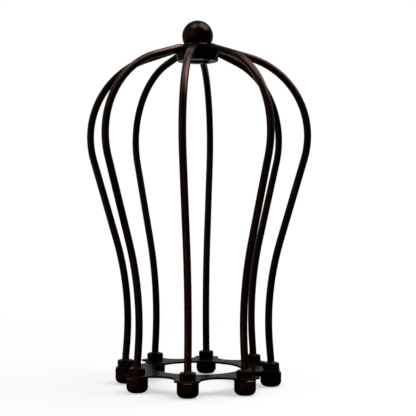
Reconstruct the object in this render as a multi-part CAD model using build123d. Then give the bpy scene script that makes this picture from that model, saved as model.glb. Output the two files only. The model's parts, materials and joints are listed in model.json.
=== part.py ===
from build123d import *

import os
from math import asin, atan2, cos, degrees, hypot, pi, radians, sin, tan

# Wire cage lamp shade: eight bowed wires between a ring plate for the lamp holder and a hub with a ball on top.
# It stands on its eight cap nuts, with the origin on the axis at the level of the feet and +Z up.
# Sizes are millimetres and degrees.

shade_height = 175.5  # from the feet to the top of the ball

# Cage wires
wire_count = 8
wire_d = 3.5
bulge_d = 109.0  # over the wires, where the cage is widest
crown_slope = 17.0  # fall of the wire as it leaves the hub
crown_bend_r = 39.5  # the big bend round the bulge, on the wire's centre line
waist_inset = 2.75  # from the foot in to where the straight runs above and below the waist would meet
waist_rise = 36.5  # that meeting point above the ring plate
hub_bend_r = 6.0  # the small bend beside the hub
foot_bend_r = 12.0  # the small bend that turns the wire upright above its nut
foot_run = 6.0  # straight wire between the waist bend and the corner of the foot bend
foot_straight = 1.6  # upright wire between that corner and the lock nut

# Thread rolled on the lower end of each wire, and its two nuts
thread_d = 4.0
thread_gap = 0.05  # all round, between a thread and what is screwed on it
thread_tip_chamfer = 0.5
nut_flats = 7.0
nut_height = 3.2
nut_face_d = 6.6  # round face left by the chamfer
nut_chamfer_angle = 30.0
cap_d = 10.0
cap_height = 7.2
cap_floor = 2.2  # metal below the blind thread
cap_edge_r = 2.7
cap_rim_chamfer = 0.5

# Ring plate
plate_thickness = 1.0
holder_hole_d = 42.0
wire_circle_d = 70.5
wire_hole_gap = 0.25  # all round, between a thread and its hole
lobe_margin = 1.0  # plate seen on each side of a cap nut
lobe_setback = 0.75  # tip of a lobe inside the outer edge of its cap nut
lobe_corner_r = 0.8
scallop_depth = 9.5  # from the tips of the lobes in to the deepest point between two of them

# Hub
hub_d = 20.0
hub_height = 7.5
hub_chamfer = 0.4
notch_length = 3.2  # how far a wire reaches into the hub
notch_gap = 0.05  # all round, for the braze

# Ball and the screw that holds it
ball_d = 15.0
ball_seat_drop = 4.75  # from the centre of the ball down to the flat that it stands on
screw_d = 4.0
screw_engagement = 6.0  # length of screw inside the ball
screw_run_out = 1.0  # empty thread beyond the tip of the screw
screw_hole_gap = 0.25  # all round, between screw and hub
head_d = 8.0
head_height = 2.4
head_edge_r = 1.2
head_slot_width = 1.0
head_slot_depth = 1.0
head_recess = 0.8  # depth of the head inside its pocket
head_pocket_gap = 1.0  # all round, between head and pocket

# Levels above the feet
plate_top = cap_height + plate_thickness
nut_top = plate_top + nut_height
hub_top = shade_height - ball_d / 2 - ball_seat_drop
hub_bottom = hub_top - hub_height
pocket_roof = hub_bottom + head_recess + head_height
wire_end_level = hub_top - wire_d / 2

# Distances from the axis
hub_r = hub_d / 2
wire_end_r = hub_r - notch_length
wire_circle_r = wire_circle_d / 2
plate_r = wire_circle_r + cap_d / 2 - lobe_setback
scallop_r = plate_r - scallop_depth

wire_pitch = 360 / wire_count
wire_angles = [index * wire_pitch - 90 for index in range(wire_count)]


def at_each_wire(piece):
    """Copies of a piece that is made on the +X side, one at each wire, the first at the front."""
    return [Rot(0, 0, angle) * piece for angle in wire_angles]


def at_rim(radius, angle):
    """Point of the ring plate's outline, at a distance and a direction from the axis."""
    return radius * cos(radians(angle)), radius * sin(radians(angle))


def wire_path():
    """Centre line of a wire, as straight runs joined by tangent bends."""
    slope = radians(crown_slope)
    hub_corner = (hub_r + hub_bend_r * tan(slope / 2), wire_end_level)
    waist_corner = (wire_circle_r - waist_inset, plate_top + waist_rise)
    foot_corner = (wire_circle_r, nut_top + foot_straight)

    # The crown bend starts on the sloping run and reaches out to the bulge
    bend_centre_r = (bulge_d - wire_d) / 2 - crown_bend_r
    crown_r = bend_centre_r + crown_bend_r * sin(slope)
    crown_level = wire_end_level - (crown_r - hub_corner[0]) * tan(slope)
    bend_centre_level = crown_level - crown_bend_r * cos(slope)

    # The run below the bulge leaves that bend and aims at the waist corner
    inward = bend_centre_r - waist_corner[0]
    upward = bend_centre_level - waist_corner[1]
    taper = atan2(inward, upward) + asin(crown_bend_r / hypot(inward, upward))
    crown_reach = crown_bend_r * tan((pi / 2 - slope + taper) / 2)
    bulge_corner = (crown_r + crown_reach * cos(slope), crown_level - crown_reach * sin(slope))

    # The waist bend takes all of the lower run but the straight above the foot
    outward = foot_corner[0] - waist_corner[0]
    downward = waist_corner[1] - foot_corner[1]
    flare = atan2(outward, downward)
    waist_bend_r = (hypot(outward, downward) - foot_run) / tan((taper + flare) / 2)

    wire_end = (wire_end_r, wire_end_level)
    thread_start = (wire_circle_r, nut_top)
    corners = [wire_end, hub_corner, bulge_corner, waist_corner, foot_corner, thread_start]
    bends = [hub_bend_r, crown_bend_r, waist_bend_r, foot_bend_r]
    return FilletPolyline([(radius, 0, level) for radius, level in corners], radius=bends)


def make_wire():
    """Bowed wire, from its end in the hub to its threaded tip in the cap nut."""
    path = wire_path()
    section = Plane(origin=path @ 0, z_dir=path % 0) * Circle(wire_d / 2)
    rod = sweep(section, path=path)
    thread = extrude(Circle(thread_d / 2), nut_top - cap_floor)
    thread = chamfer(thread.edges().sort_by(Axis.Z)[0], thread_tip_chamfer)
    return rod + Pos(wire_circle_r, 0, cap_floor) * thread


def make_ring_plate():
    """Stamped ring with a lobe under each wire and a concave scallop between two lobes."""
    half_lobe = degrees(asin((cap_d / 2 + lobe_margin) / plate_r))
    outline = []
    for angle in wire_angles:
        lobe_start = at_rim(plate_r, angle - half_lobe)
        lobe_end = at_rim(plate_r, angle + half_lobe)
        scallop_floor = at_rim(scallop_r, angle + wire_pitch / 2)
        next_lobe = at_rim(plate_r, angle + wire_pitch - half_lobe)
        outline.append(ThreePointArc(lobe_start, at_rim(plate_r, angle), lobe_end))
        outline.append(ThreePointArc(lobe_end, scallop_floor, next_lobe))
    blank = make_face(outline)
    blank = fillet(blank.vertices(), lobe_corner_r)
    blank -= Circle(holder_hole_d / 2)
    blank -= at_each_wire(Pos(wire_circle_r, 0) * Circle(thread_d / 2 + wire_hole_gap))
    return Pos(0, 0, cap_height) * extrude(blank, plate_thickness)


def make_lock_nut():
    """Hexagon nut on the ring plate, with both faces chamfered round."""
    corner_r = nut_flats / 2 / cos(pi / 6)
    face_r = nut_face_d / 2
    edge = (corner_r - face_r) * tan(radians(nut_chamfer_angle))
    half_section = Polyline(
        (0, 0),
        (face_r, 0),
        (corner_r, edge),
        (corner_r, nut_height - edge),
        (face_r, nut_height),
        (0, nut_height),
        close=True,
    )
    turned = revolve(Plane.XZ * make_face(half_section), Axis.Z)
    hexagon = extrude(RegularPolygon(nut_flats / 2, 6, major_radius=False), nut_height)
    bore = extrude(Circle(thread_d / 2 + thread_gap), nut_height)
    return Pos(wire_circle_r, 0, plate_top) * (turned & hexagon - bore)


def make_cap_nut():
    """Round cap nut under the ring plate, with a blind thread and a rounded lower edge to stand on."""
    body = extrude(Circle(cap_d / 2), cap_height)
    body = chamfer(body.edges().sort_by(Axis.Z)[-1], cap_rim_chamfer)
    body = fillet(body.edges().sort_by(Axis.Z)[0], cap_edge_r)
    bore = extrude(Circle(thread_d / 2 + thread_gap), cap_height - cap_floor)
    return Pos(wire_circle_r, 0, 0) * (body - Pos(0, 0, cap_floor) * bore)


def make_hub():
    """Turned boss with an open notch for each wire, and a pocket below for the head of the screw."""
    body = extrude(Circle(hub_r), hub_height)
    body = chamfer(body.edges().filter_by(GeomType.CIRCLE), hub_chamfer)
    body -= extrude(Circle(screw_d / 2 + screw_hole_gap), hub_height)
    body -= extrude(Circle(head_d / 2 + head_pocket_gap), pocket_roof - hub_bottom)
    notch_r = wire_d / 2 + notch_gap
    notch_end = Plane(origin=(wire_end_r, 0, wire_end_level), x_dir=(0, 1, 0), z_dir=(1, 0, 0))
    notch_section = Circle(notch_r) + Pos(0, notch_r) * Rectangle(2 * notch_r, 2 * notch_r)
    notch = extrude(notch_end * notch_section, notch_length + wire_d)
    return Pos(0, 0, hub_bottom) * body - at_each_wire(notch)


def make_ball():
    """Ball with a flat to stand on and a blind thread."""
    ball = split(Sphere(ball_d / 2), Plane.XY.offset(-ball_seat_drop), keep=Keep.TOP)
    bore = extrude(Circle(screw_d / 2 + thread_gap), screw_engagement + screw_run_out)
    return Pos(0, 0, hub_top) * (Pos(0, 0, ball_seat_drop) * ball - bore)


def make_screw():
    """Slotted screw, head down in the hub's pocket, with its shank up through the hub into the ball."""
    head = extrude(Circle(head_d / 2), head_height)
    head = fillet(head.edges().sort_by(Axis.Z)[0], head_edge_r)
    head -= Box(head_d, head_slot_width, 2 * head_slot_depth)
    shank = extrude(Circle(screw_d / 2), hub_top - pocket_roof + screw_engagement)
    return Pos(0, 0, pocket_roof) * (Pos(0, 0, -head_height) * head + shank)


nodes = {f"cage_wire_{number}": wire for number, wire in enumerate(at_each_wire(make_wire()), start=1)}
nodes["ring_plate"] = make_ring_plate()
nodes["lock_nuts"] = Compound(at_each_wire(make_lock_nut()))
nodes["cap_nuts"] = Compound(at_each_wire(make_cap_nut()))
nodes["hub"] = make_hub()
nodes["ball_finial"] = make_ball()
nodes["finial_screw"] = make_screw()

os.makedirs("parts", exist_ok=True)
for name, piece in nodes.items():
    piece.label = name
    export_step(piece, f"parts/{name}.step")
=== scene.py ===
import json
import math

import bmesh
import bpy
from bpy.props import FloatProperty, FloatVectorProperty, IntProperty, PointerProperty
from bpy.types import NodeSocket, Operator, Panel, PropertyGroup
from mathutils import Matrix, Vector
from mathutils.noise import noise


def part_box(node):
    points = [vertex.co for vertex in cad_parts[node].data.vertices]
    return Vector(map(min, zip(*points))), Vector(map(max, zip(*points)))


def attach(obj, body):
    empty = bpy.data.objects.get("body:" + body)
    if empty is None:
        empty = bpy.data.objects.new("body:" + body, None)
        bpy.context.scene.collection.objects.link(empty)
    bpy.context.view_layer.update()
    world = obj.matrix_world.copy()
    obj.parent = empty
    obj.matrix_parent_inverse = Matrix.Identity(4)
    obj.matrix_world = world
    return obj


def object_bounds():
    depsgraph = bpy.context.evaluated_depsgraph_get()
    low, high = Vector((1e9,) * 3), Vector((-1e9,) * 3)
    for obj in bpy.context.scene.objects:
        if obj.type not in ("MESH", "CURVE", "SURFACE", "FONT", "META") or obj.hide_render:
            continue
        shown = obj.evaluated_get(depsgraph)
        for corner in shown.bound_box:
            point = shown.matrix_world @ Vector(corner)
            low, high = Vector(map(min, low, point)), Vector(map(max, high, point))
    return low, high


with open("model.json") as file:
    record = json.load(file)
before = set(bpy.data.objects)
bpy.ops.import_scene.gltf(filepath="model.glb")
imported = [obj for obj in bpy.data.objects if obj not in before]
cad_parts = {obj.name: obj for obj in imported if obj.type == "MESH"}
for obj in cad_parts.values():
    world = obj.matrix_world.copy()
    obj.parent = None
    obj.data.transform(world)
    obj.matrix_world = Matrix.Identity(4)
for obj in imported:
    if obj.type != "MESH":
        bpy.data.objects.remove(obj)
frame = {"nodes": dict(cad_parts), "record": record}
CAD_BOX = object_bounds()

bl_info = {
    "name": "Wire Cage Lamp Shade",
    "version": (1, 0, 0),
    "blender": (4, 5, 0),
    "location": "3D View > Sidebar > Lamp Shade",
    "description": "Finishes a bowed wire lamp shade in rubbed dark bronze and stands it on a white floor",
    "category": "Object",
}

BODY = "root"
UP = Vector((0.0, 0.0, 1.0))
WHITE = (1.0, 1.0, 1.0, 1.0)

# Places taken from the frame, in metres
WIRES = sorted(name for name in frame["nodes"] if name.startswith("cage_wire_"))
WIRE_STEP = math.tau / len(WIRES)
FRONT = -math.pi / 2
MOUNTS = {mount["name"]: mount for mount in frame["record"]["mounts"]}
FOOT_RADIUS = Vector(MOUNTS["front_foot"]["pos_m"]).xy.length
NUT_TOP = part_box("lock_nuts")[1].z
HUB_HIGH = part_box("hub")[1]
HUB_RADIUS = HUB_HIGH.x
SHADE_MIDDLE = (CAD_BOX[0] + CAD_BOX[1]) / 2
WIRE_SKIN = [corner.co for corner in frame["nodes"][WIRES[0]].data.vertices]
BULGE_LEVEL = max(WIRE_SKIN, key=lambda point: point.xy.length).z

# Marks in the finish: scales in waves to a metre, and pairs from where a mark starts to where it is full
EDGE_SAMPLES = 6
EDGE_TURN = (0.004, 0.08)  # how far the rounded edge turns away from the plain surface
EDGE_PATCH_SCALE = 430.0
EDGE_PATCHES = (0.36, 0.62)
PATINA_SHIFT = (0.0, 0.0, 3.0)  # shift in the noise, which decides where the patches fall
STRETCH_SCALE = 0.25  # scale of the long stretches, as a share of that of the patches
PATCH_STRENGTH = 0.35  # how far the patches change the long stretches
PATCHES = (0.32, 0.62)
FLECK_SCALE = 1900.0
FLECKS = (0.58, 0.74)
FLECK_STRENGTH = 0.4
OUTER_SIDE = (-0.2, 0.7)  # how far the surface faces out of the cage
SMEAR_SCALE = 140.0
SMEAR_DEPTH = 0.14  # change of the roughness, up or down
RING_SQUEEZE = (0.02, 0.02, 1.0)  # draws the noise out round the axis

# Streaks along a wire, in a noise that runs from -1 to 1 across it
STREAK_SCALE = 3.2
STREAK_SHIFT = 5.0  # shift in the noise for each radian from wire to wire
STREAK_SQUEEZE = 12.0  # shortens the streaks
STREAKS = (0.36, 0.62)
STREAK_WARMTH = (0.2, 1.6)  # share of the warmth beside the streaks and in them

# Unevenness of a braze bead
BEAD_SEED = Vector((0.0, 0.0, 0.3))  # level at which the noise is taken
BEAD_WAVES = 9.0  # of its line, in a radian round the hub
LEVEL_WAVES = 1.7  # of its level, to each of its line
THICKNESS_WAVES = 3.1  # of its thickness, to each of its line
THICKNESS_CHANGE = 0.25  # up or down, as a share of the thickness
BEAD_DROP = 0.5  # fall at the ends, as a share of the radius
BEAD_TIP = 1.0001  # more than 1, so that the ends don't close to a point

# Section of a thread as it runs out
THREAD_FOOT = 0.42  # half of the ridge's foot, as a share of the pitch
THREAD_TIP = 0.1  # what is left of it at the end, as a share of the depth below the wire's surface

# What the metal shows: the cosine of the angle to a direction, from where a thing starts to where it is full
BACKDROP_AWAY = (0.2, 0.8)
BACKDROP_UP = (-0.6, -0.25)
WALL_LEFT = (-0.3, 1.0)
WALL_UP = (-0.5, 0.1)

# Floor
FLOOR_SIDES = 96
FLOOR_GAP = 0.00005  # metres below the feet
FLOOR_PAINT = (0.9, 0.9, 0.9, 1.0)
SHADOW_START = 0.3  # share of its reach where the shadow starts to fade
# Sheet: a painted pool of light on the floor that only the metal sees
SHEET_LEFT = (-0.025, 0.005)  # metres to the left of the axis, where the painted pool of light on the floor starts
SHEET_DARK = 2 / 3  # share of its start up to which the sheet is dark, a painted shadow of the cage
SHEET_FULL = 1 / 2  # share of its radius where the sheet starts to fade


# Settings that a user would change

def colour(name, description, default):
    """Setting for a colour."""
    return FloatVectorProperty(
        name=name, description=description, default=default, subtype="COLOR", size=3, min=0.0, max=1.0
    )


def length(name, description, default):
    """Setting for a length in metres."""
    return FloatProperty(
        name=name, description=description, default=default, subtype="DISTANCE", unit="LENGTH", precision=5
    )


def place(name, description, default):
    """Setting for a place in the shade's frame, in metres."""
    return FloatVectorProperty(
        name=name, description=description, default=default, subtype="XYZ", unit="LENGTH", size=3
    )


def share(name, description, default):
    """Setting for a share from 0 to 1."""
    return FloatProperty(
        name=name, description=description, default=default, subtype="FACTOR", min=0.0, max=1.0
    )


def power(name, description, default):
    """Setting for the power of a lamp in watts."""
    return FloatProperty(name=name, description=description, default=default, unit="POWER", min=0.0)


def count(name, description, default, least):
    """Setting for a number of steps."""
    return IntProperty(name=name, description=description, default=default, min=least)


def warm_colour(default):
    """Setting for the colour of the warm patches."""
    return colour("Warm patina", "Red-brown of the patches where the patina is thin", default)


def patch_width(default):
    """Setting for the size of the warm patches."""
    return length("Patch size", "Width of a warm patch", default)


def inner_share(default):
    """Setting for the warmth inside the cage."""
    return share("Inner warmth", "Share of the warmth on the side towards the axis", default)


def rub_share(default):
    """Setting for the rub along the edges."""
    return share("Edge rub", "How much bare bronze shows along the edges", default)


def glare_colour(default):
    """Setting for the glare."""
    return colour("Glare", "Glare that the patina lets through at a low angle", default)


def middle_roughness(default):
    """Setting for the roughness."""
    return share("Roughness", "Middle of the range of roughness", default)


def lacquer_weight(default):
    """Setting for the lacquer."""
    return share("Lacquer", "Weight of the clear lacquer", default)


def ring_pitch(default):
    """Setting for the lines that turning leaves."""
    return length("Ring pitch", "Distance between two rings that the lathe has left", default)


class BronzeFinish:
    """Colours and sheen that all the bronze finishes share."""

    dark: colour("Dark patina", "Blackened bronze that covers most of the surface", (0.009, 0.0035, 0.002))
    warm: warm_colour((0.055, 0.0255, 0.0155))
    rubbed: colour("Rubbed bronze", "Metal that shows where the patina is rubbed off", (0.13, 0.07, 0.045))
    patch_size: patch_width(0.010)
    warmth: share("Warmth", "How far the patches go from the dark to the warm colour", 0.95)
    inner_warmth: inner_share(1.0)
    edge_width: length("Edge width", "Width of the rounding and of the rub along an edge", 0.0003)
    edge_rub: rub_share(0.5)
    metallic: share("Metallic", "How far the finish reflects as bare metal does", 1.0)
    glare: glare_colour((0.08, 0.07, 0.065))
    roughness: middle_roughness(0.36)
    lacquer: lacquer_weight(0.25)
    lacquer_roughness: share("Lacquer roughness", "Roughness of the clear lacquer", 0.25)
    ripple_size: length("Ripple size", "Width of a ripple in the lacquer", 0.0009)
    relief: length("Relief", "Height of the ripples and of the tool lines", 0.00002)


class WireFinish(BronzeFinish, PropertyGroup):
    """Finish of the drawn and bent wires."""

    warm: warm_colour((0.086, 0.0405, 0.0275))
    inner_warmth: inner_share(0.05)
    lacquer: lacquer_weight(0.3)
    line_fineness: FloatProperty(
        name="Line fineness", description="How close the drawn lines lie round the wire", default=9.0, min=0.0
    )


class PlateFinish(BronzeFinish, PropertyGroup):
    """Finish of the stamped ring plate."""

    warm: warm_colour((0.0425, 0.024, 0.015))
    patch_size: patch_width(0.006)
    glare: glare_colour((0.165, 0.158, 0.145))
    lacquer: lacquer_weight(0.125)


class NutFinish(BronzeFinish, PropertyGroup):
    """Finish of the nuts, the cap nuts and the screw."""

    warm: warm_colour((0.0525, 0.0235, 0.0135))
    inner_warmth: inner_share(0.1)
    patch_size: patch_width(0.003)
    edge_rub: rub_share(0.15)
    lacquer: lacquer_weight(0.175)
    roughness: middle_roughness(0.44)
    line_pitch: ring_pitch(0.00016)


class TurnedFinish(BronzeFinish, PropertyGroup):
    """Finish of the turned hub and ball."""

    warm: warm_colour((0.039, 0.0195, 0.0135))
    patch_size: patch_width(0.007)
    glare: glare_colour((0.14, 0.13, 0.12))
    roughness: middle_roughness(0.28)
    lacquer: lacquer_weight(0.15)
    line_pitch: ring_pitch(0.00022)


class BrazeFinish(BronzeFinish, PropertyGroup):
    """Finish of the braze beads."""

    patch_size: patch_width(0.0016)
    roughness: middle_roughness(0.42)


class BeadShape(PropertyGroup):
    """Shape of the braze between two wires on the rim of the hub."""

    radius: length("Bead radius", "Radius of the bead beside a wire", 0.0006)
    waist: share("Waist", "Radius half way between two wires, as a share of that beside a wire", 0.6)
    rim_inset: length("Rim inset", "From the edge of the hub in to the middle of the bead", 0.0007)
    clearance: length("Clearance", "From the middle of a wire to the end of the bead", 0.0012)
    wave: length("Wave", "How far the bead wanders from its line", 0.0002)
    segments: count("Segments", "Steps along one bead", 48, 8)
    sides: count("Sides", "Points round a bead", 14, 6)


class ThreadShape(PropertyGroup):
    """Shape of the thread that runs out above each lock nut."""

    wire_diameter: length("Wire diameter", "Diameter of the wire that carries the thread", 0.0035)
    pitch: length("Pitch", "Rise of the thread in one turn", 0.0007)
    ridge: length("Ridge", "Height of the crest above the wire", 0.00024)
    turns: FloatProperty(
        name="Turns", description="Turns above the nut before the thread fades out", default=1.6, min=0.25
    )
    steps: count("Steps", "Steps of the helix in one turn", 40, 12)


class StudioSettings(PropertyGroup):
    """Floor, light and camera."""

    floor_radius: length("Floor radius", "Radius of the white floor", 20.0)
    shadow_reach: length("Shadow reach", "Distance from the axis where the shadow fades into white", 0.34)
    shadow_share: share("Shadow share", "How much of the floor's own shade shows beside the feet", 0.45)
    room: colour(
        "Room", "Dim room in front of the white backdrop, as the metal shows it", (0.0284, 0.0216, 0.0182)
    )
    wall: colour("Wall", "Paler wall on the left, as the metal shows it", (0.30, 0.224, 0.188))
    # Painted pool of light on the floor that only the metal sees, painted dark close to the cage as its
    # shadow
    sheet: colour(
        "Sheet", "Paler floor on the left of the front foot, as the metal shows it", (0.200, 0.136, 0.104)
    )
    sheet_start: length(
        "Sheet start", "Distance from the axis where that floor is out of the cage's own dark", 0.060
    )
    sheet_radius: length("Sheet radius", "Distance from the axis where that floor fades into the room", 0.26)
    ambient: colour("Ambient", "Light from all round", (0.45, 0.45, 0.45))
    key_place: place("Key place", "Middle of the soft box on the right", (0.38, 0.09, 0.80))
    key_size: length("Key size", "Side of the soft box on the right", 0.60)
    key_power: power("Key power", "Power of the soft box on the right", 5.4)
    fill_place: place("Fill place", "Middle of the soft box on the left", (-0.18, -0.16, 0.88))
    fill_size: length("Fill size", "Side of the soft box on the left", 0.42)
    fill_power: power("Fill power", "Power of the soft box on the left", 1.6)
    lens: FloatProperty(
        name="Lens",
        description="Focal length on a 36 mm wide picture",
        default=89.3,
        subtype="DISTANCE_CAMERA",
    )
    camera_distance: length("Camera distance", "From the axis of the shade to the camera", 0.4977)
    camera_height: length("Camera height", "From the floor to the camera", 0.0856)
    camera_swing: FloatProperty(
        name="Camera swing",
        description="How far the camera stands to the right of the front wire",
        default=math.radians(7.2),
        subtype="ANGLE",
        unit="ROTATION",
    )
    picture_shift: FloatVectorProperty(
        name="Picture shift",
        description="Shift of the picture to the right and up, as a share of its width",
        default=(0.0250, -0.0024),
        size=2,
        precision=4,
    )


class LampShadeSettings(PropertyGroup):
    """All the settings of the lamp shade."""

    wire: PointerProperty(type=WireFinish)
    plate: PointerProperty(type=PlateFinish)
    nut: PointerProperty(type=NutFinish)
    turned: PointerProperty(type=TurnedFinish)
    braze: PointerProperty(type=BrazeFinish)
    bead: PointerProperty(type=BeadShape)
    thread: PointerProperty(type=ThreadShape)
    studio: PointerProperty(type=StudioSettings)


# Shader trees

class Sketch:
    """Adds nodes to one tree and joins them. A source is a socket, or a plain value for an input."""

    # Sockets of the Mix node that carry colours
    MIX_SHARE, MIX_FIRST, MIX_SECOND, MIX_RESULT = 0, 6, 7, 2

    def __init__(self, tree):
        self.tree = tree
        self.tree.nodes.clear()

    def feed(self, target, source):
        if isinstance(source, NodeSocket):
            self.tree.links.new(source, target)
        elif source is not None:
            target.default_value = source

    def node(self, kind, inputs=None, **settings):
        node = self.tree.nodes.new(kind)
        for name, value in settings.items():
            setattr(node, name, value)
        for name, source in (inputs or {}).items():
            self.feed(node.inputs[name], source)
        return node

    def group(self, tree, inputs):
        return self.node("ShaderNodeGroup", inputs, node_tree=tree).outputs

    def math(self, operation, first, second=None, clamp=False):
        node = self.node("ShaderNodeMath", {0: first, 1: second}, operation=operation, use_clamp=clamp)
        return node.outputs["Value"]

    def times(self, first, second):
        return self.math("MULTIPLY", first, second)

    def vector(self, operation, first, second=None, output="Vector"):
        return self.node("ShaderNodeVectorMath", {0: first, 1: second}, operation=operation).outputs[output]

    def dot(self, first, second):
        return self.vector("DOT_PRODUCT", first, second, "Value")

    def length(self, vector):
        return self.vector("LENGTH", vector, output="Value")

    def flat(self, point):
        """Point with its height taken out."""
        return self.vector("MULTIPLY", point, (1.0, 1.0, 0.0))

    def combine(self, x, y, z):
        return self.node("ShaderNodeCombineXYZ", {"X": x, "Y": y, "Z": z}).outputs["Vector"]

    def ramp(self, value, low, high):
        """0 at low, 1 at high and smooth between."""
        inputs = {"Value": value, "From Min": low, "From Max": high}
        return self.node("ShaderNodeMapRange", inputs, interpolation_type="SMOOTHSTEP").outputs["Result"]

    def span(self, value, low, high):
        """Turns 0 to 1 into low to high."""
        inputs = {"Value": value, "To Min": low, "To Max": high}
        return self.node("ShaderNodeMapRange", inputs).outputs["Result"]

    def noise(self, vector, scale, detail=2.0, roughness=0.5):
        inputs = {"Vector": vector, "Scale": scale, "Detail": detail, "Roughness": roughness}
        return self.node("ShaderNodeTexNoise", inputs).outputs["Fac"]

    def mix(self, amount, first, second):
        inputs = {self.MIX_SHARE: amount, self.MIX_FIRST: first, self.MIX_SECOND: second}
        return self.node("ShaderNodeMix", inputs, data_type="RGBA").outputs[self.MIX_RESULT]

    def place(self):
        """Point of the surface in the shade's own frame."""
        return self.node("ShaderNodeTexCoord").outputs["Object"]

    def normal(self):
        """Direction that the surface faces, in the shade's own frame."""
        return self.node("ShaderNodeNewGeometry").outputs["Normal"]


SOCKETS = {"value": "NodeSocketFloat", "colour": "NodeSocketColor", "vector": "NodeSocketVector"}


def new_group(name, inputs, outputs):
    """Empty node group with named sockets, as a sketch, its given values and its results."""
    tree = bpy.data.node_groups.new(name, "ShaderNodeTree")
    for label, kind in inputs.items():
        tree.interface.new_socket(label, in_out="INPUT", socket_type=SOCKETS[kind])
    for label, kind in outputs.items():
        tree.interface.new_socket(label, in_out="OUTPUT", socket_type=SOCKETS[kind])
    sketch = Sketch(tree)
    given = sketch.node("NodeGroupInput").outputs
    result = sketch.node("NodeGroupOutput").inputs
    return sketch, given, result


def edge_rub_group():
    """Rounds the edges, and marks the patches along them where the patina is rubbed off."""
    sketch, given, result = new_group(
        "Edge rub", {"Width": "value", "Amount": "value"}, {"Rub": "value", "Normal": "vector"}
    )
    bevel = sketch.node("ShaderNodeBevel", {"Radius": given["Width"]}, samples=EDGE_SAMPLES)
    rounded = bevel.outputs["Normal"]
    turn = sketch.math("SUBTRACT", 1.0, sketch.dot(rounded, sketch.normal()))
    along_edge = sketch.ramp(turn, *EDGE_TURN)
    patchy = sketch.ramp(sketch.noise(sketch.place(), EDGE_PATCH_SCALE, detail=3.0), *EDGE_PATCHES)
    sketch.feed(result["Rub"], sketch.times(sketch.times(along_edge, patchy), given["Amount"]))
    sketch.feed(result["Normal"], rounded)
    return sketch.tree


def patina_group():
    """Dark bronze with warm patches and fine flecks, and bare metal where it is rubbed."""
    sketch, given, result = new_group(
        "Bronze patina",
        {
            "Dark": "colour",
            "Warm": "colour",
            "Rubbed": "colour",
            "Patch Size": "value",
            "Warmth": "value",
            "Rub": "value",
        },
        {"Colour": "colour"},
    )
    point = sketch.vector("ADD", sketch.place(), PATINA_SHIFT)
    patches = sketch.noise(point, sketch.math("DIVIDE", 1.0, given["Patch Size"]), detail=4.0, roughness=0.6)
    stretches = sketch.noise(point, sketch.math("DIVIDE", STRETCH_SCALE, given["Patch Size"]), detail=1.0)
    patches = sketch.times(sketch.math("SUBTRACT", patches, stretches), PATCH_STRENGTH)
    patches = sketch.ramp(sketch.math("ADD", stretches, patches), *PATCHES)
    flecks = sketch.ramp(sketch.noise(point, FLECK_SCALE, detail=1.0), *FLECKS)
    bronze = sketch.mix(sketch.times(patches, given["Warmth"]), given["Dark"], given["Warm"])
    bronze = sketch.mix(sketch.times(flecks, FLECK_STRENGTH), bronze, given["Warm"])
    sketch.feed(result["Colour"], sketch.mix(given["Rub"], bronze, given["Rubbed"]))
    return sketch.tree


def outer_side_group():
    """Marks the side that faces out of the cage, so that the side towards the axis gets less warmth and is
    darker.
    """
    sketch, given, result = new_group("Outer side", {"Inner Share": "value"}, {"Share": "value"})
    from_bulge = sketch.vector("SUBTRACT", sketch.place(), (0.0, 0.0, BULGE_LEVEL))
    # Below the bulge the outside is level, and above it the outside leans upwards
    outward = sketch.vector("NORMALIZE", sketch.vector("MAXIMUM", from_bulge, (-1.0, -1.0, 0.0)))
    facing = sketch.ramp(sketch.dot(sketch.normal(), outward), *OUTER_SIDE)
    sketch.feed(result["Share"], sketch.span(facing, given["Inner Share"], 1.0))
    return sketch.tree


def lacquer_group():
    """Satin lacquer: smears that change the roughness, and fine ripples in the surface."""
    sketch, given, result = new_group(
        "Satin lacquer",
        {"Roughness": "value", "Ripple Size": "value"},
        {"Roughness": "value", "Height": "value"},
    )
    point = sketch.place()
    smears = sketch.noise(point, SMEAR_SCALE, detail=3.0, roughness=0.6)
    smears = sketch.span(smears, -SMEAR_DEPTH, SMEAR_DEPTH)
    sketch.feed(result["Roughness"], sketch.math("ADD", given["Roughness"], smears, clamp=True))
    sketch.feed(result["Height"], sketch.noise(point, sketch.math("DIVIDE", 1.0, given["Ripple Size"])))
    return sketch.tree


def turned_lines_group():
    """Fine rings that a lathe leaves round an upright axis."""
    sketch, given, result = new_group("Turned lines", {"Pitch": "value"}, {"Height": "value"})
    level = sketch.vector("MULTIPLY", sketch.place(), RING_SQUEEZE)
    rings = sketch.noise(level, sketch.math("DIVIDE", 1.0, given["Pitch"]), detail=1.0)
    sketch.feed(result["Height"], rings)
    return sketch.tree


def drawn_lines_group():
    """Fine lines and broad streaks along a bent wire, from the side of the wire that the surface faces."""
    sketch, given, result = new_group(
        "Drawn lines", {"Fineness": "value"}, {"Height": "value", "Streaks": "value"}
    )
    point = sketch.place()
    parts = sketch.node("ShaderNodeSeparateXYZ", {"Vector": point}).outputs
    bearing = sketch.math("ARCTAN2", parts["Y"], parts["X"])
    wire_bearing = sketch.math("SNAP", sketch.math("ADD", bearing, WIRE_STEP / 2), WIRE_STEP)
    outward = sketch.combine(sketch.math("COSINE", wire_bearing), sketch.math("SINE", wire_bearing), 1.0)
    normal = sketch.normal()
    side = sketch.dot(normal, sketch.vector("CROSS_PRODUCT", UP, outward))
    back = sketch.math("SIGN", sketch.dot(normal, outward))
    along = sketch.math("SUBTRACT", parts["Z"], sketch.length(sketch.flat(point)))
    lines = sketch.noise(sketch.combine(side, back, along), given["Fineness"])
    sketch.feed(result["Height"], lines)
    # The streaks are broader and shorter than the lines, and not the same on each wire
    wire = sketch.math("ADD", back, sketch.times(wire_bearing, STREAK_SHIFT))
    short = sketch.times(along, STREAK_SQUEEZE)
    streaks = sketch.noise(sketch.combine(side, wire, short), STREAK_SCALE, detail=1.0)
    sketch.feed(result["Streaks"], sketch.ramp(streaks, *STREAKS))
    return sketch.tree


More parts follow.
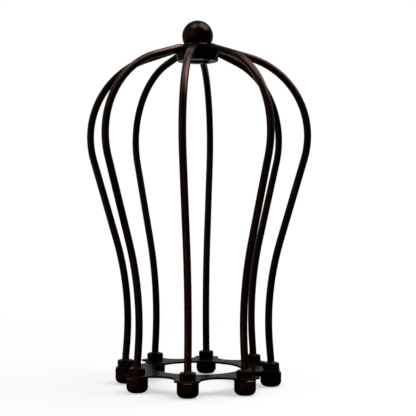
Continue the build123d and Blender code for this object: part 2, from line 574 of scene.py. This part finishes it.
GROUP_MAKERS = {
    "edge_rub": edge_rub_group,
    "patina": patina_group,
    "outer_side": outer_side_group,
    "lacquer": lacquer_group,
    "turned_lines": turned_lines_group,
    "drawn_lines": drawn_lines_group,
}
GROUPS = {}


def shared_group(label):
    """Node group that the materials share, built when it is first asked for."""
    if label not in GROUPS:
        GROUPS[label] = GROUP_MAKERS[label]()
    return GROUPS[label]


def bronze_material(name, finish, lines=None):
    """Patinated bronze under satin lacquer. Lines names the group of its tool lines and gives its value."""
    material = bpy.data.materials.new(name)
    material.use_nodes = True
    sketch = Sketch(material.node_tree)
    edges = sketch.group(shared_group("edge_rub"), {"Width": finish.edge_width, "Amount": finish.edge_rub})
    tool = sketch.group(shared_group(lines[0]), lines[1]) if lines else {}
    warmth = finish.warmth
    # Darker on the side that faces the axis, and above the bulge on the underside
    if finish.inner_warmth < 1.0:
        sides = sketch.group(shared_group("outer_side"), {"Inner Share": finish.inner_warmth})
        warmth = sketch.times(sides["Share"], warmth)
    if "Streaks" in tool:
        warmth = sketch.times(warmth, sketch.span(tool["Streaks"], *STREAK_WARMTH))
    patina = sketch.group(
        shared_group("patina"),
        {
            "Dark": (*finish.dark, 1.0),
            "Warm": (*finish.warm, 1.0),
            "Rubbed": (*finish.rubbed, 1.0),
            "Patch Size": finish.patch_size,
            "Warmth": warmth,
            "Rub": edges["Rub"],
        },
    )
    satin = sketch.group(
        shared_group("lacquer"), {"Roughness": finish.roughness, "Ripple Size": finish.ripple_size}
    )
    height = satin["Height"]
    if "Height" in tool:
        height = sketch.math("ADD", height, tool["Height"])
    relief = sketch.node(
        "ShaderNodeBump", {"Distance": finish.relief, "Height": height, "Normal": edges["Normal"]}
    )
    bronze = sketch.node(
        "ShaderNodeBsdfPrincipled",
        {
            "Base Color": patina["Colour"],
            "Metallic": finish.metallic,
            "Specular Tint": (*finish.glare, 1.0),
            "Roughness": satin["Roughness"],
            "Normal": relief.outputs["Normal"],
            "Coat Weight": finish.lacquer,
            "Coat Roughness": finish.lacquer_roughness,
        },
    )
    sketch.node("ShaderNodeOutputMaterial", {"Surface": bronze.outputs["BSDF"]})
    return material


def finish_nodes(names, material):
    """Gives frame nodes a material in place of the plain one that they came with."""
    for name in names:
        slots = frame["nodes"][name].data.materials
        slots.clear()
        slots.append(material)


# Pieces

def new_object(name, data):
    """Object in the scene for a mesh, a lamp or a camera."""
    holder = bpy.data.objects.new(name, data)
    bpy.context.scene.collection.objects.link(holder)
    return holder


def new_piece(name, mesh, material):
    """Piece of the shade that is added to the frame."""
    mesh.materials.append(material)
    piece = new_object(name, mesh)
    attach(piece, BODY)


def finished_mesh(name, mesh_maker, smooth):
    """Mesh with its faces turned outwards."""
    bmesh.ops.recalc_face_normals(mesh_maker, faces=mesh_maker.faces)
    for face in mesh_maker.faces:
        face.smooth = smooth
    mesh = bpy.data.meshes.new(name)
    mesh_maker.to_mesh(mesh)
    mesh_maker.free()
    return mesh


def tube(name, rings, smooth):
    """Mesh that joins rings of as many points each into a closed skin with a cap on each end."""
    mesh_maker = bmesh.new()
    loops = [[mesh_maker.verts.new(point) for point in ring] for ring in rings]
    for first, second in zip(loops, loops[1:]):
        for index in range(len(first)):
            follower = (index + 1) % len(first)
            mesh_maker.faces.new((first[index], first[follower], second[follower], second[index]))
    mesh_maker.faces.new(reversed(loops[0]))
    mesh_maker.faces.new(loops[-1])
    return finished_mesh(name, mesh_maker, smooth)


def level_direction(bearing):
    """Level direction at a bearing about the axis."""
    return Vector((math.cos(bearing), math.sin(bearing), 0.0))


def braze_bead(bead, first_wire):
    """Wavy bead of braze on the rim of the hub, from one wire to the next."""
    line_radius = HUB_RADIUS - bead.rim_inset
    end_turn = bead.clearance / line_radius
    rings = []
    for step in range(bead.segments + 1):
        part = step / bead.segments
        from_middle = abs(2 * part - 1)
        bearing = first_wire + end_turn + part * (WIRE_STEP - 2 * end_turn)
        outward = level_direction(bearing)
        seed = (outward + BEAD_SEED) * BEAD_WAVES
        radius = line_radius + bead.wave * noise(seed)
        # High powers keep the fall and the rounding close to the ends
        level = HUB_HIGH.z + bead.wave * noise(seed * LEVEL_WAVES)
        level -= bead.radius * BEAD_DROP * from_middle**4
        thickness = bead.radius * (bead.waist + (1 - bead.waist) * from_middle**2)
        thickness *= 1 + THICKNESS_CHANGE * noise(seed * THICKNESS_WAVES)
        thickness *= math.sqrt(BEAD_TIP - from_middle**8)
        middle = outward * radius + UP * level
        ring = []
        for side in range(bead.sides):
            turn = math.tau * side / bead.sides
            spoke = outward * math.cos(turn) + UP * math.sin(turn)
            ring.append(middle + spoke * thickness)
        rings.append(ring)
    return tube("braze_bead", rings, smooth=True)


def thread_run_out(thread, bearing):
    """Last turns of a rolled thread above a lock nut, fading into the wire."""
    centre = level_direction(bearing) * FOOT_RADIUS
    root = thread.wire_diameter / 2
    sunk = thread.ridge / 2
    steps = round(thread.turns * thread.steps)
    rings = []
    for step in range(steps + 1):
        part = step / steps
        fade = 1 - part**2
        outward = level_direction(math.tau * thread.turns * part)
        level = NUT_TOP - thread.pitch / 2 + thread.pitch * thread.turns * part
        half_foot = thread.pitch * THREAD_FOOT * fade + sunk * THREAD_TIP
        section = [(root - sunk, -half_foot), (root + thread.ridge * fade, 0.0), (root - sunk, half_foot)]
        rings.append([centre + outward * reach + UP * (level + rise) for reach, rise in section])
    return tube("thread_run_out", rings, smooth=False)


# Studio

def camera_directions(studio):
    """Level directions away from the camera and to its left."""
    away = -level_direction(FRONT + studio.camera_swing)
    return away, UP.cross(away)


def ray_masks(sketch):
    """Masks of the rays that look at a surface, and of those that the metal mirrors."""
    rays = sketch.node("ShaderNodeLightPath").outputs
    looked_at = sketch.math("MAXIMUM", rays["Is Camera Ray"], rays["Is Transmission Ray"])
    return looked_at, rays["Is Glossy Ray"]


def seen_in_metal(sketch, direction, studio):
    """Colour that the metal shows in a direction: the white backdrop, the paler wall or the dim room."""
    away, left = camera_directions(studio)
    sight = sketch.vector("NORMALIZE", direction)
    upward = sketch.dot(sight, UP)
    behind = sketch.ramp(sketch.dot(sight, away), *BACKDROP_AWAY)
    backdrop = sketch.times(behind, sketch.ramp(upward, *BACKDROP_UP))
    beside = sketch.ramp(sketch.dot(sight, left), *WALL_LEFT)
    wall = sketch.times(beside, sketch.ramp(upward, *WALL_UP))
    room = sketch.mix(wall, (*studio.room, 1.0), (*studio.wall, 1.0))
    return sketch.mix(backdrop, room, WHITE)


def white_floor_material(studio):
    """Floor that is white to the eye and keeps the shade's shadow close to its feet."""
    material = bpy.data.materials.new("white_floor")
    material.use_nodes = True
    material.cycles.emission_sampling = "NONE"
    sketch = Sketch(material.node_tree)
    looked_at, mirrored = ray_masks(sketch)
    point = sketch.flat(sketch.place())
    distance = sketch.length(point)

    # To the eye: plain white far out, and part of the floor's own shade close to the feet
    far = sketch.ramp(distance, studio.shadow_reach * SHADOW_START, studio.shadow_reach)
    in_the_eye = sketch.span(far, 1.0 - studio.shadow_share, 1.0)
    glowing = sketch.math("MAXIMUM", sketch.times(looked_at, in_the_eye), mirrored)

    # In the metal: the studio as seen from the hub, and on the left a paler sheet, a painted pool of light
    # that the metal shows, kept dark close to the cage as a painted shadow
    from_hub = sketch.vector("SUBTRACT", point, (0.0, 0.0, HUB_HIGH.z))
    left = camera_directions(studio)[1]
    near = sketch.ramp(distance, studio.sheet_radius, studio.sheet_radius * SHEET_FULL)
    # Painted shadow of the cage: the sheet stays dark close to the axis
    clear = sketch.ramp(distance, studio.sheet_start * SHEET_DARK, studio.sheet_start)
    sheet = sketch.times(sketch.times(near, clear), sketch.ramp(sketch.dot(point, left), *SHEET_LEFT))
    in_the_metal = sketch.mix(sheet, seen_in_metal(sketch, from_hub, studio), (*studio.sheet, 1.0))

    paint = sketch.node("ShaderNodeBsdfDiffuse", {"Color": FLOOR_PAINT})
    glow = sketch.node("ShaderNodeEmission", {"Color": sketch.mix(looked_at, in_the_metal, WHITE)})
    surface = sketch.node("ShaderNodeMixShader", {0: glowing, 1: paint.outputs[0], 2: glow.outputs[0]})
    sketch.node("ShaderNodeOutputMaterial", {"Surface": surface.outputs[0]})
    return material


def add_floor(studio):
    """Round floor just below the feet."""
    mesh_maker = bmesh.new()
    bmesh.ops.create_circle(mesh_maker, cap_ends=True, segments=FLOOR_SIDES, radius=studio.floor_radius)
    mesh = finished_mesh("floor", mesh_maker, smooth=False)
    mesh.materials.append(white_floor_material(studio))
    floor = new_object("floor", mesh)
    floor.location.z = CAD_BOX[0].z - FLOOR_GAP


def add_world(studio):
    """White surroundings to the eye, a dim studio in the metal and soft light from all round."""
    world = bpy.data.worlds.new("studio")
    world.use_nodes = True
    world.cycles.sampling_method = "NONE"
    sketch = Sketch(world.node_tree)
    looked_at, mirrored = ray_masks(sketch)
    direction = sketch.node("ShaderNodeTexCoord").outputs["Generated"]
    in_the_metal = seen_in_metal(sketch, direction, studio)
    shown = sketch.mix(mirrored, (*studio.ambient, 1.0), in_the_metal)
    shown = sketch.mix(looked_at, shown, WHITE)
    surroundings = sketch.node("ShaderNodeBackground", {"Color": shown})
    sketch.node("ShaderNodeOutputWorld", {"Surface": surroundings.outputs["Background"]})
    bpy.context.scene.world = world


def add_soft_box(name, middle, size, watts):
    """Square area light that points at the middle of the shade."""
    lamp = bpy.data.lights.new(name, "AREA")
    lamp.shape = "SQUARE"
    lamp.size = size
    lamp.energy = watts
    holder = new_object(name, lamp)
    holder.location = middle
    holder.rotation_euler = (SHADE_MIDDLE - Vector(middle)).to_track_quat("-Z", "Y").to_euler()
    holder.visible_camera = False


def add_camera(studio):
    """Level camera in front of the shade, a little to the right of its front wire."""
    lens = bpy.data.cameras.new("camera")
    lens.lens = studio.lens
    lens.shift_x, lens.shift_y = studio.picture_shift
    camera = new_object("camera", lens)
    away = camera_directions(studio)[0]
    camera.location = UP * studio.camera_height - away * studio.camera_distance
    camera.rotation_euler = (math.pi / 2, 0.0, studio.camera_swing)
    bpy.context.scene.camera = camera


# Operators

class SHADE_OT_finish_wires(Operator):
    """Give the bent wires their drawn bronze finish"""

    bl_idname = "lamp_shade.finish_wires"
    bl_label = "Finish Wires"

    def execute(self, context):
        finish = context.scene.lamp_shade.wire
        lines = ("drawn_lines", {"Fineness": finish.line_fineness})
        finish_nodes(WIRES, bronze_material("wire_bronze", finish, lines))
        return {"FINISHED"}


class SHADE_OT_finish_plate(Operator):
    """Give the ring plate its stamped bronze finish"""

    bl_idname = "lamp_shade.finish_plate"
    bl_label = "Finish Ring Plate"

    def execute(self, context):
        finish = context.scene.lamp_shade.plate
        finish_nodes(["ring_plate"], bronze_material("plate_bronze", finish))
        return {"FINISHED"}


class SHADE_OT_finish_nuts(Operator):
    """Give the lock nuts, the cap nuts and the screw their finish"""

    bl_idname = "lamp_shade.finish_nuts"
    bl_label = "Finish Nuts and Screw"

    def execute(self, context):
        finish = context.scene.lamp_shade.nut
        lines = ("turned_lines", {"Pitch": finish.line_pitch})
        material = bronze_material("nut_bronze", finish, lines)
        finish_nodes(["lock_nuts", "cap_nuts", "finial_screw"], material)
        return {"FINISHED"}


class SHADE_OT_finish_hub(Operator):
    """Give the hub and the ball their turned finish"""

    bl_idname = "lamp_shade.finish_hub"
    bl_label = "Finish Hub and Ball"

    def execute(self, context):
        finish = context.scene.lamp_shade.turned
        lines = ("turned_lines", {"Pitch": finish.line_pitch})
        finish_nodes(["hub", "ball_finial"], bronze_material("turned_bronze", finish, lines))
        return {"FINISHED"}


class SHADE_OT_add_braze(Operator):
    """Add the braze beads between the wires on the rim of the hub"""

    bl_idname = "lamp_shade.add_braze"
    bl_label = "Add Braze"

    def execute(self, context):
        settings = context.scene.lamp_shade
        material = bronze_material("braze_bronze", settings.braze)
        for index in range(len(WIRES)):
            mesh = braze_bead(settings.bead, FRONT + index * WIRE_STEP)
            new_piece(f"braze_bead_{index + 1}", mesh, material)
        return {"FINISHED"}


class SHADE_OT_add_threads(Operator):
    """Add the thread that runs out above each lock nut"""

    bl_idname = "lamp_shade.add_threads"
    bl_label = "Add Threads"

    def execute(self, context):
        thread = context.scene.lamp_shade.thread
        material = frame["nodes"][WIRES[0]].data.materials[0]
        for index in range(len(WIRES)):
            mesh = thread_run_out(thread, FRONT + index * WIRE_STEP)
            new_piece(f"thread_run_out_{index + 1}", mesh, material)
        return {"FINISHED"}


class SHADE_OT_set_stage(Operator):
    """Set the floor, the surroundings, the lights and the camera"""

    bl_idname = "lamp_shade.set_stage"
    bl_label = "Set Stage"

    def execute(self, context):
        studio = context.scene.lamp_shade.studio
        context.scene.view_settings.view_transform = "Standard"
        add_floor(studio)
        add_world(studio)
        add_soft_box("right_soft_box", studio.key_place, studio.key_size, studio.key_power)
        add_soft_box("left_soft_box", studio.fill_place, studio.fill_size, studio.fill_power)
        add_camera(studio)
        return {"FINISHED"}


STEPS = (
    SHADE_OT_finish_wires,
    SHADE_OT_finish_plate,
    SHADE_OT_finish_nuts,
    SHADE_OT_finish_hub,
    SHADE_OT_add_braze,
    SHADE_OT_add_threads,
    SHADE_OT_set_stage,
)


class SHADE_PT_sidebar(Panel):
    """Lists the steps that dress the lamp shade"""

    bl_label = "Lamp Shade"
    bl_idname = "SHADE_PT_sidebar"
    bl_space_type = "VIEW_3D"
    bl_region_type = "UI"
    bl_category = "Lamp Shade"

    def draw(self, context):
        for step in STEPS:
            self.layout.operator(step.bl_idname)


CLASSES = (
    WireFinish,
    PlateFinish,
    NutFinish,
    TurnedFinish,
    BrazeFinish,
    BeadShape,
    ThreadShape,
    StudioSettings,
    LampShadeSettings,
    *STEPS,
    SHADE_PT_sidebar,
)


def register():
    """Adds the settings, the steps and the panel."""
    for kind in CLASSES:
        bpy.utils.register_class(kind)
    bpy.types.Scene.lamp_shade = PointerProperty(type=LampShadeSettings)


def unregister():
    """Takes them away again."""
    del bpy.types.Scene.lamp_shade
    for kind in reversed(CLASSES):
        bpy.utils.unregister_class(kind)


def main():
    """Dresses the shade step by step."""
    register()
    bpy.ops.lamp_shade.finish_wires()
    bpy.ops.lamp_shade.finish_plate()
    bpy.ops.lamp_shade.finish_nuts()
    bpy.ops.lamp_shade.finish_hub()
    bpy.ops.lamp_shade.add_braze()
    bpy.ops.lamp_shade.add_threads()
    bpy.ops.lamp_shade.set_stage()


if __name__ == "__main__":
    main()
